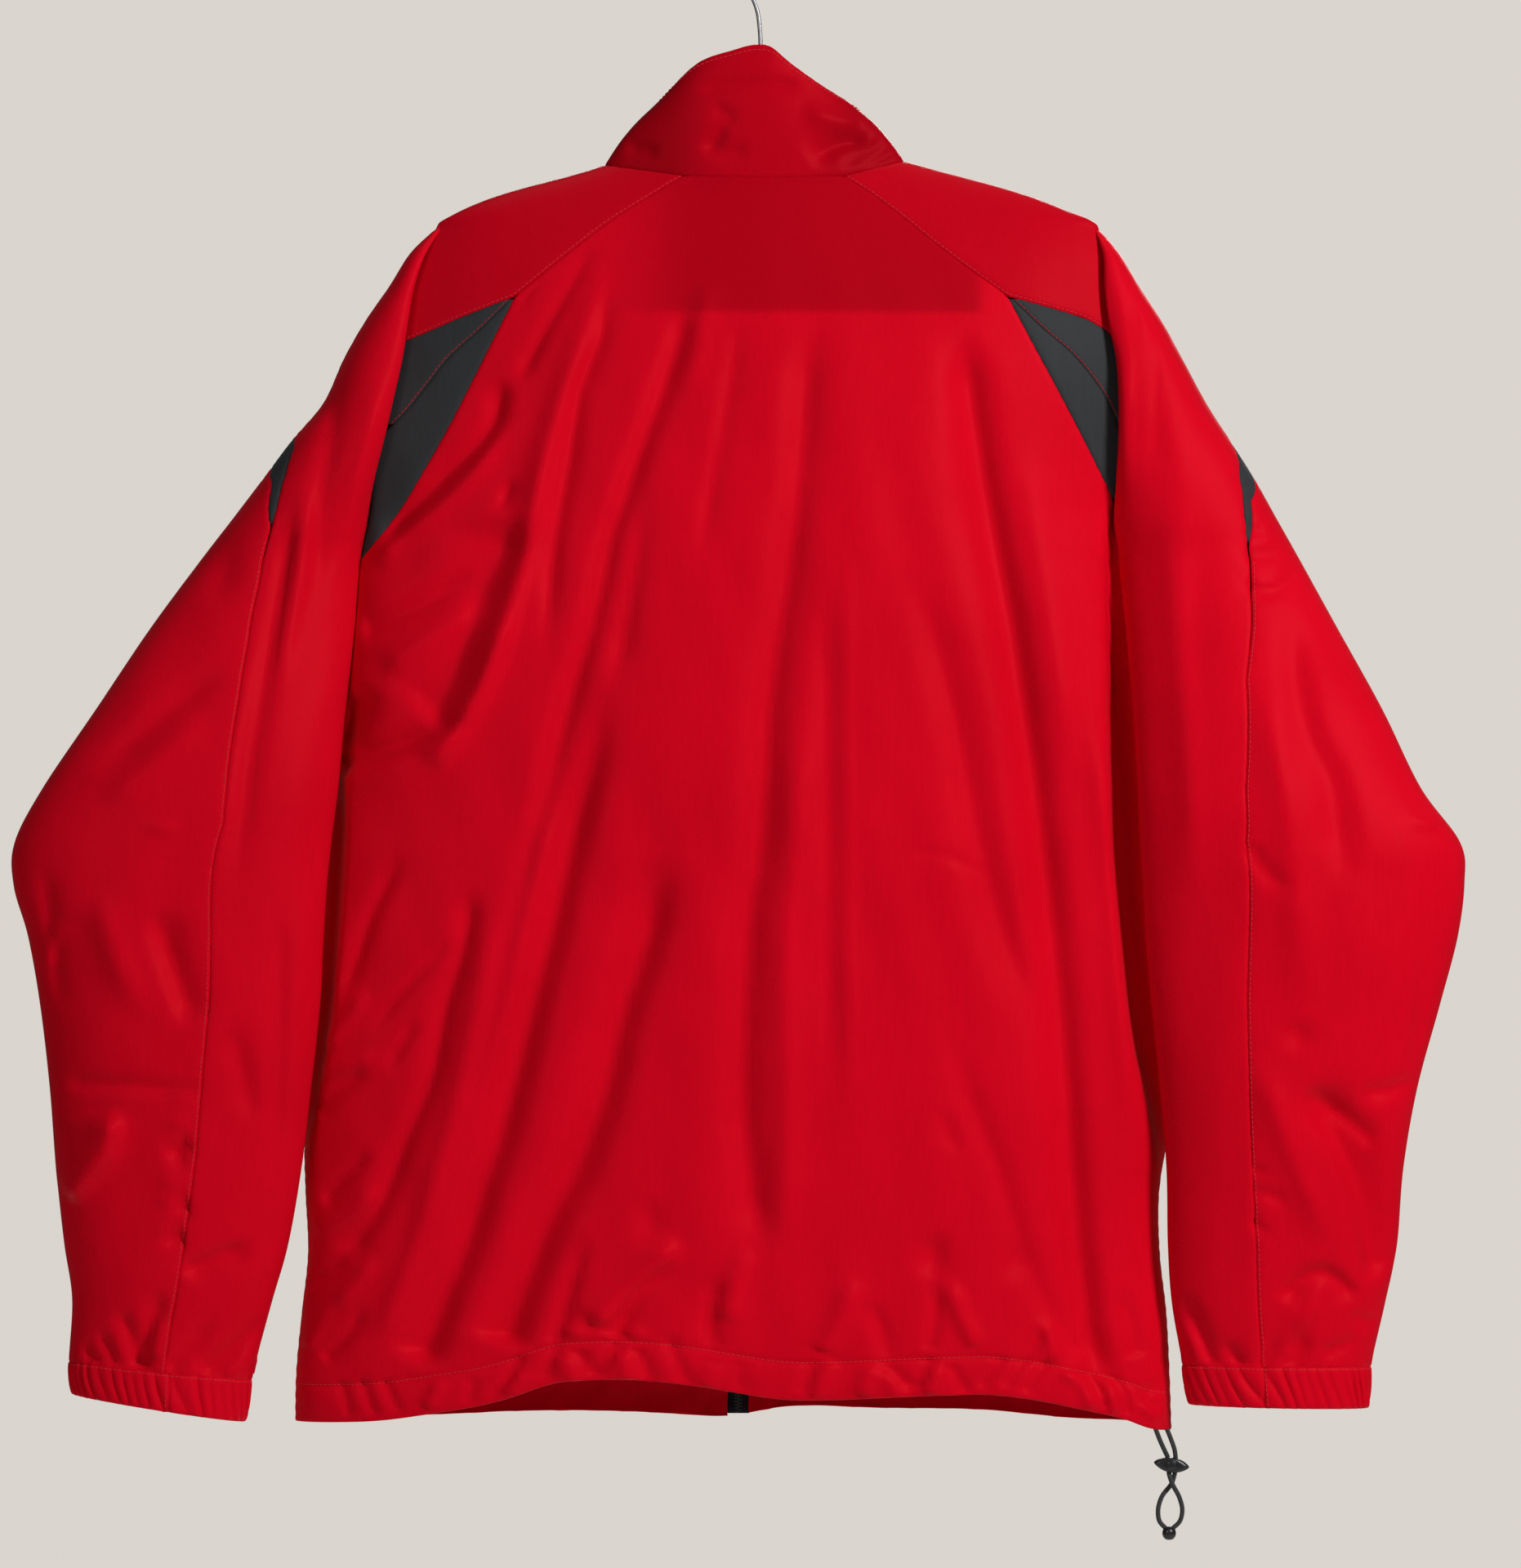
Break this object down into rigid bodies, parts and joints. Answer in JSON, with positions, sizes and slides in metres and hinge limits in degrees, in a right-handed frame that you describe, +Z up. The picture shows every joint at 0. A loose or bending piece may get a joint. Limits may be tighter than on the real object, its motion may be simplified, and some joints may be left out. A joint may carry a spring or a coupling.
{
  "type": "windbreaker on a hanger",
  "caption": "Red raglan windbreaker with black armhole inserts, stand collar, front zip, gathered cuffs and a hem drawcord, hanging on a wire-hook hanger.",
  "frame": {"origin": "inside top of the hanger's hook, where it hangs", "axes": "+Z up, -Y towards the garment's back as pictured, +X towards the wearer's right"},
  "size_m": [0.8448, 0.1166, 0.9564],
  "materials": {
    "red_cloth": "light woven nylon, soft sheen",
    "black_cloth": "light woven nylon, soft sheen",
    "cuff_cloth": "gathered woven nylon",
    "zip_tape": "woven tape with moulded teeth",
    "drawcord": "braided cord",
    "black_plastic": "satin",
    "zip_metal": "satin",
    "hanger_bar": "smooth",
    "hook_wire": "polished"
  },
  "bodies": {
    "jacket": {"back_panel": "red_cloth", "front_left": "red_cloth", "front_right": "red_cloth", "shoulder_yoke_left": "red_cloth", "shoulder_yoke_right": "red_cloth", "sleeve_inner_left": "red_cloth", "sleeve_inner_right": "red_cloth", "sleeve_outer_left": "red_cloth", "sleeve_outer_right": "red_cloth", "collar": "red_cloth", "back_insert_upper_left": "black_cloth", "back_insert_upper_right": "black_cloth", "back_insert_lower_left": "black_cloth", "back_insert_lower_right": "black_cloth", "front_insert_left": "black_cloth", "front_insert_right": "black_cloth", "sleeve_insert_left": "black_cloth", "sleeve_insert_right": "black_cloth", "cuff_left": "cuff_cloth", "cuff_right": "cuff_cloth", "zip_chain": "zip_tape", "zip_box": "black_plastic", "zip_slider": "zip_metal", "hanger_arms": "hanger_bar", "hanger_hook": "hook_wire", "drawcord_left_strand": "drawcord", "drawcord_right_strand": "drawcord", "cord_lock": "black_plastic", "cord_end": "black_plastic"},
    "pull_tab": {"zip_pull_tab": "zip_metal"}
  },
  "joints": [
    {"name": "pull_tab_hinge", "type": "hinge", "parent": "jacket", "child": "pull_tab", "pos_m": [0, 0.05089, -0.1993], "axis": [1, 0, 0], "range_deg": [0, 150]}
  ]
}
